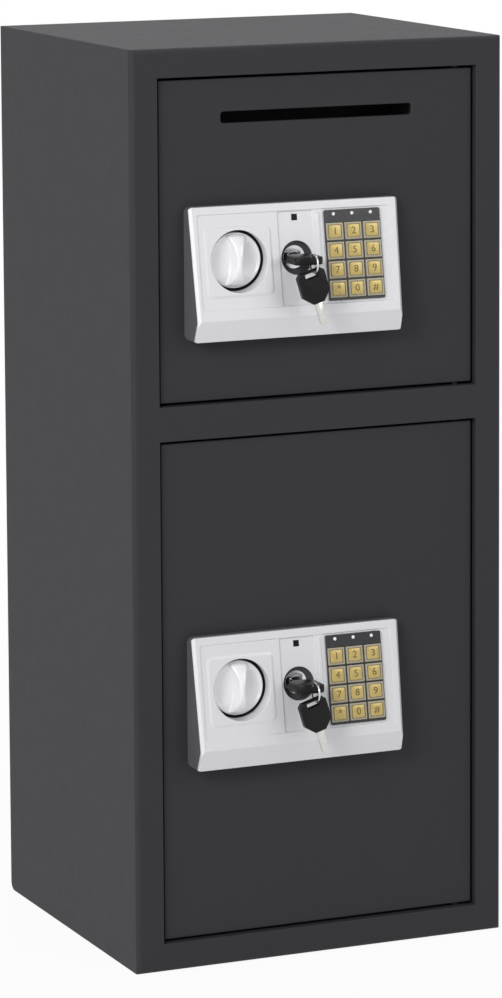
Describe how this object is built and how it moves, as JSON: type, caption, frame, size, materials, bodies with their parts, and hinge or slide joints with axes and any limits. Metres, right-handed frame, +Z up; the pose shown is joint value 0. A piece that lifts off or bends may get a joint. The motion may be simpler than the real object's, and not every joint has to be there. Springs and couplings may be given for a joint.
{
  "type": "drop safe with two doors",
  "caption": "Tall steel drop safe: a slotted deposit door over a larger door, each with a wedge-shaped keypad lock, a knob, a key lock and sliding bolts.",
  "frame": {"origin": "centre of the cabinet's footprint, on the floor", "axes": "+X to the right seen from the front, +Y from the front to the back, +Z up"},
  "size_m": [0.35, 0.3609, 0.8],
  "materials": {
    "painted_steel": "fine matt powder coat",
    "grey_plastic": "fine-grained moulded",
    "silver_plastic": "silver lacquer",
    "black_plastic": "smooth moulded",
    "gold_plastic": "gold-tinted, in a silver edge",
    "red_plastic": "smooth moulded",
    "chrome": "polished",
    "zinc_steel": "zinc-plated"
  },
  "bodies": {
    "cabinet": {"cabinet_shell": "painted_steel", "back_panel": "painted_steel", "divider": "painted_steel"},
    "lower_door": {"lower_door_plate": "painted_steel", "lower_inner_cover": "painted_steel", "lower_battery_lid": "black_plastic", "lower_lock_cylinder": "chrome", "lower_panel_base": "grey_plastic", "lower_panel_fascia": "silver_plastic", "lower_keypad_bezel": "black_plastic", "lower_solenoid": "zinc_steel"},
    "lower_bolts": {"lower_bolt_carriage": "zinc_steel"},
    "lower_knob_turner": {"lower_knob": "silver_plastic"},
    "lower_plug": {"lower_lock_plug": "zinc_steel"},
    "lower_lock_key": {"lower_key": "black_plastic"},
    "lower_ring": {"lower_key_ring": "chrome"},
    "lower_spare": {"lower_spare_key": "black_plastic"},
    "lower_blocker": {"lower_plunger": "chrome"},
    "lower_reset": {"lower_reset_button": "red_plastic"},
    "lower_press_1": {"lower_button_1": "gold_plastic"},
    "lower_press_2": {"lower_button_2": "gold_plastic"},
    "lower_press_3": {"lower_button_3": "gold_plastic"},
    "lower_press_4": {"lower_button_4": "gold_plastic"},
    "lower_press_5": {"lower_button_5": "gold_plastic"},
    "lower_press_6": {"lower_button_6": "gold_plastic"},
    "lower_press_7": {"lower_button_7": "gold_plastic"},
    "lower_press_8": {"lower_button_8": "gold_plastic"},
    "lower_press_9": {"lower_button_9": "gold_plastic"},
    "lower_press_star": {"lower_button_star": "gold_plastic"},
    "lower_press_0": {"lower_button_0": "gold_plastic"},
    "lower_press_hash": {"lower_button_hash": "gold_plastic"},
    "upper_door": {"upper_door_plate": "painted_steel", "upper_inner_cover": "painted_steel", "upper_battery_lid": "black_plastic", "upper_lock_cylinder": "chrome", "upper_panel_base": "grey_plastic", "upper_panel_fascia": "silver_plastic", "upper_keypad_bezel": "black_plastic", "upper_solenoid": "zinc_steel", "slot_baffle": "painted_steel"},
    "upper_bolts": {"upper_bolt_carriage": "zinc_steel"},
    "upper_knob_turner": {"upper_knob": "silver_plastic"},
    "upper_plug": {"upper_lock_plug": "zinc_steel"},
    "upper_lock_key": {"upper_key": "black_plastic"},
    "upper_ring": {"upper_key_ring": "chrome"},
    "upper_spare": {"upper_spare_key": "black_plastic"},
    "upper_blocker": {"upper_plunger": "chrome"},
    "upper_reset": {"upper_reset_button": "red_plastic"},
    "upper_press_1": {"upper_button_1": "gold_plastic"},
    "upper_press_2": {"upper_button_2": "gold_plastic"},
    "upper_press_3": {"upper_button_3": "gold_plastic"},
    "upper_press_4": {"upper_button_4": "gold_plastic"},
    "upper_press_5": {"upper_button_5": "gold_plastic"},
    "upper_press_6": {"upper_button_6": "gold_plastic"},
    "upper_press_7": {"upper_button_7": "gold_plastic"},
    "upper_press_8": {"upper_button_8": "gold_plastic"},
    "upper_press_9": {"upper_button_9": "gold_plastic"},
    "upper_press_star": {"upper_button_star": "gold_plastic"},
    "upper_press_0": {"upper_button_0": "gold_plastic"},
    "upper_press_hash": {"upper_button_hash": "gold_plastic"}
  },
  "joints": [
    {"name": "lower_door_hinge", "type": "hinge", "parent": "cabinet", "child": "lower_door", "pos_m": [0.134, -0.144, 0.0275], "axis": [0, 0, 1], "range_deg": [0, 110]},
    {"name": "lower_bolt_slide", "type": "slide", "parent": "lower_door", "child": "lower_bolts", "axis": [-1, 0, 0], "range_m": [0, 0.015]},
    {"name": "lower_knob_turn", "type": "hinge", "parent": "lower_door", "child": "lower_knob_turner", "pos_m": [-0.081, -0.15, 0.24511], "axis": [0, -1, 0], "range_deg": [0, 90]},
    {"name": "lower_plug_turn", "type": "hinge", "parent": "lower_door", "child": "lower_plug", "pos_m": [-0.02625, -0.15, 0.24511], "axis": [0, 1, 0], "range_deg": [0, 90]},
    {"name": "lower_blocker_lift", "type": "slide", "parent": "lower_door", "child": "lower_blocker", "axis": [0, 0, 1], "range_m": [0, 0.0015]},
    {"name": "lower_key_pull", "type": "slide", "parent": "lower_plug", "child": "lower_lock_key", "axis": [0, -1, 0], "range_m": [0, 0.032]},
    {"name": "lower_ring_swing", "type": "hinge", "parent": "lower_lock_key", "child": "lower_ring", "pos_m": [-0.02475, -0.19711, 0.24841], "axis": [0, 1, 0], "range_deg": [-12, 12]},
    {"name": "lower_spare_swing", "type": "hinge", "parent": "lower_ring", "child": "lower_spare", "pos_m": [-0.02475, -0.19711, 0.23591], "axis": [0, 1, 0], "range_deg": [-25, 25]},
    {"name": "lower_reset_push", "type": "slide", "parent": "lower_door", "child": "lower_reset", "axis": [0, -1, 0], "range_m": [0, 0.0015], "stiffness_N_per_m": 300, "springref_m": -0.001},
    {"name": "lower_key_press_1", "type": "slide", "parent": "lower_door", "child": "lower_press_1", "axis": [0, 0.9873, -0.1586], "range_m": [0, 0.001], "stiffness_N_per_m": 300, "springref_m": -0.001},
    {"name": "lower_key_press_2", "type": "slide", "parent": "lower_door", "child": "lower_press_2", "axis": [0, 0.9873, -0.1586], "range_m": [0, 0.001], "stiffness_N_per_m": 300, "springref_m": -0.001},
    {"name": "lower_key_press_3", "type": "slide", "parent": "lower_door", "child": "lower_press_3", "axis": [0, 0.9873, -0.1586], "range_m": [0, 0.001], "stiffness_N_per_m": 300, "springref_m": -0.001},
    {"name": "lower_key_press_4", "type": "slide", "parent": "lower_door", "child": "lower_press_4", "axis": [0, 0.9873, -0.1586], "range_m": [0, 0.001], "stiffness_N_per_m": 300, "springref_m": -0.001},
    {"name": "lower_key_press_5", "type": "slide", "parent": "lower_door", "child": "lower_press_5", "axis": [0, 0.9873, -0.1586], "range_m": [0, 0.001], "stiffness_N_per_m": 300, "springref_m": -0.001},
    {"name": "lower_key_press_6", "type": "slide", "parent": "lower_door", "child": "lower_press_6", "axis": [0, 0.9873, -0.1586], "range_m": [0, 0.001], "stiffness_N_per_m": 300, "springref_m": -0.001},
    {"name": "lower_key_press_7", "type": "slide", "parent": "lower_door", "child": "lower_press_7", "axis": [0, 0.9873, -0.1586], "range_m": [0, 0.001], "stiffness_N_per_m": 300, "springref_m": -0.001},
    {"name": "lower_key_press_8", "type": "slide", "parent": "lower_door", "child": "lower_press_8", "axis": [0, 0.9873, -0.1586], "range_m": [0, 0.001], "stiffness_N_per_m": 300, "springref_m": -0.001},
    {"name": "lower_key_press_9", "type": "slide", "parent": "lower_door", "child": "lower_press_9", "axis": [0, 0.9873, -0.1586], "range_m": [0, 0.001], "stiffness_N_per_m": 300, "springref_m": -0.001},
    {"name": "lower_key_press_star", "type": "slide", "parent": "lower_door", "child": "lower_press_star", "axis": [0, 0.9873, -0.1586], "range_m": [0, 0.001], "stiffness_N_per_m": 300, "springref_m": -0.001},
    {"name": "lower_key_press_0", "type": "slide", "parent": "lower_door", "child": "lower_press_0", "axis": [0, 0.9873, -0.1586], "range_m": [0, 0.001], "stiffness_N_per_m": 300, "springref_m": -0.001},
    {"name": "lower_key_press_hash", "type": "slide", "parent": "lower_door", "child": "lower_press_hash", "axis": [0, 0.9873, -0.1586], "range_m": [0, 0.001], "stiffness_N_per_m": 300, "springref_m": -0.001},
    {"name": "upper_door_hinge", "type": "hinge", "parent": "cabinet", "child": "upper_door", "pos_m": [0.134, -0.144, 0.4965], "axis": [0, 0, 1], "range_deg": [0, 110]},
    {"name": "upper_bolt_slide", "type": "slide", "parent": "upper_door", "child": "upper_bolts", "axis": [-1, 0, 0], "range_m": [0, 0.015]},
    {"name": "upper_knob_turn", "type": "hinge", "parent": "upper_door", "child": "upper_knob_turner", "pos_m": [-0.081, -0.15, 0.61711], "axis": [0, -1, 0], "range_deg": [0, 90]},
    {"name": "upper_plug_turn", "type": "hinge", "parent": "upper_door", "child": "upper_plug", "pos_m": [-0.02625, -0.15, 0.61711], "axis": [0, 1, 0], "range_deg": [0, 90]},
    {"name": "upper_blocker_lift", "type": "slide", "parent": "upper_door", "child": "upper_blocker", "axis": [0, 0, 1], "range_m": [0, 0.0015]},
    {"name": "upper_key_pull", "type": "slide", "parent": "upper_plug", "child": "upper_lock_key", "axis": [0, -1, 0], "range_m": [0, 0.032]},
    {"name": "upper_ring_swing", "type": "hinge", "parent": "upper_lock_key", "child": "upper_ring", "pos_m": [-0.02475, -0.19711, 0.62041], "axis": [0, 1, 0], "range_deg": [-12, 12]},
    {"name": "upper_spare_swing", "type": "hinge", "parent": "upper_ring", "child": "upper_spare", "pos_m": [-0.02475, -0.19711, 0.60791], "axis": [0, 1, 0], "range_deg": [-25, 25]},
    {"name": "upper_reset_push", "type": "slide", "parent": "upper_door", "child": "upper_reset", "axis": [0, -1, 0], "range_m": [0, 0.0015], "stiffness_N_per_m": 300, "springref_m": -0.001},
    {"name": "upper_key_press_1", "type": "slide", "parent": "upper_door", "child": "upper_press_1", "axis": [0, 0.9873, -0.1586], "range_m": [0, 0.001], "stiffness_N_per_m": 300, "springref_m": -0.001},
    {"name": "upper_key_press_2", "type": "slide", "parent": "upper_door", "child": "upper_press_2", "axis": [0, 0.9873, -0.1586], "range_m": [0, 0.001], "stiffness_N_per_m": 300, "springref_m": -0.001},
    {"name": "upper_key_press_3", "type": "slide", "parent": "upper_door", "child": "upper_press_3", "axis": [0, 0.9873, -0.1586], "range_m": [0, 0.001], "stiffness_N_per_m": 300, "springref_m": -0.001},
    {"name": "upper_key_press_4", "type": "slide", "parent": "upper_door", "child": "upper_press_4", "axis": [0, 0.9873, -0.1586], "range_m": [0, 0.001], "stiffness_N_per_m": 300, "springref_m": -0.001},
    {"name": "upper_key_press_5", "type": "slide", "parent": "upper_door", "child": "upper_press_5", "axis": [0, 0.9873, -0.1586], "range_m": [0, 0.001], "stiffness_N_per_m": 300, "springref_m": -0.001},
    {"name": "upper_key_press_6", "type": "slide", "parent": "upper_door", "child": "upper_press_6", "axis": [0, 0.9873, -0.1586], "range_m": [0, 0.001], "stiffness_N_per_m": 300, "springref_m": -0.001},
    {"name": "upper_key_press_7", "type": "slide", "parent": "upper_door", "child": "upper_press_7", "axis": [0, 0.9873, -0.1586], "range_m": [0, 0.001], "stiffness_N_per_m": 300, "springref_m": -0.001},
    {"name": "upper_key_press_8", "type": "slide", "parent": "upper_door", "child": "upper_press_8", "axis": [0, 0.9873, -0.1586], "range_m": [0, 0.001], "stiffness_N_per_m": 300, "springref_m": -0.001},
    {"name": "upper_key_press_9", "type": "slide", "parent": "upper_door", "child": "upper_press_9", "axis": [0, 0.9873, -0.1586], "range_m": [0, 0.001], "stiffness_N_per_m": 300, "springref_m": -0.001},
    {"name": "upper_key_press_star", "type": "slide", "parent": "upper_door", "child": "upper_press_star", "axis": [0, 0.9873, -0.1586], "range_m": [0, 0.001], "stiffness_N_per_m": 300, "springref_m": -0.001},
    {"name": "upper_key_press_0", "type": "slide", "parent": "upper_door", "child": "upper_press_0", "axis": [0, 0.9873, -0.1586], "range_m": [0, 0.001], "stiffness_N_per_m": 300, "springref_m": -0.001},
    {"name": "upper_key_press_hash", "type": "slide", "parent": "upper_door", "child": "upper_press_hash", "axis": [0, 0.9873, -0.1586], "range_m": [0, 0.001], "stiffness_N_per_m": 300, "springref_m": -0.001}
  ],
  "couplings": [
    {"joint": "lower_knob_turn", "follows": "lower_bolt_slide", "rad_per_m": 104.72},
    {"joint": "lower_plug_turn", "follows": "lower_blocker_lift", "rad_per_m": 1047.2},
    {"joint": "upper_knob_turn", "follows": "upper_bolt_slide", "rad_per_m": 104.72},
    {"joint": "upper_plug_turn", "follows": "upper_blocker_lift", "rad_per_m": 1047.2}
  ]
}
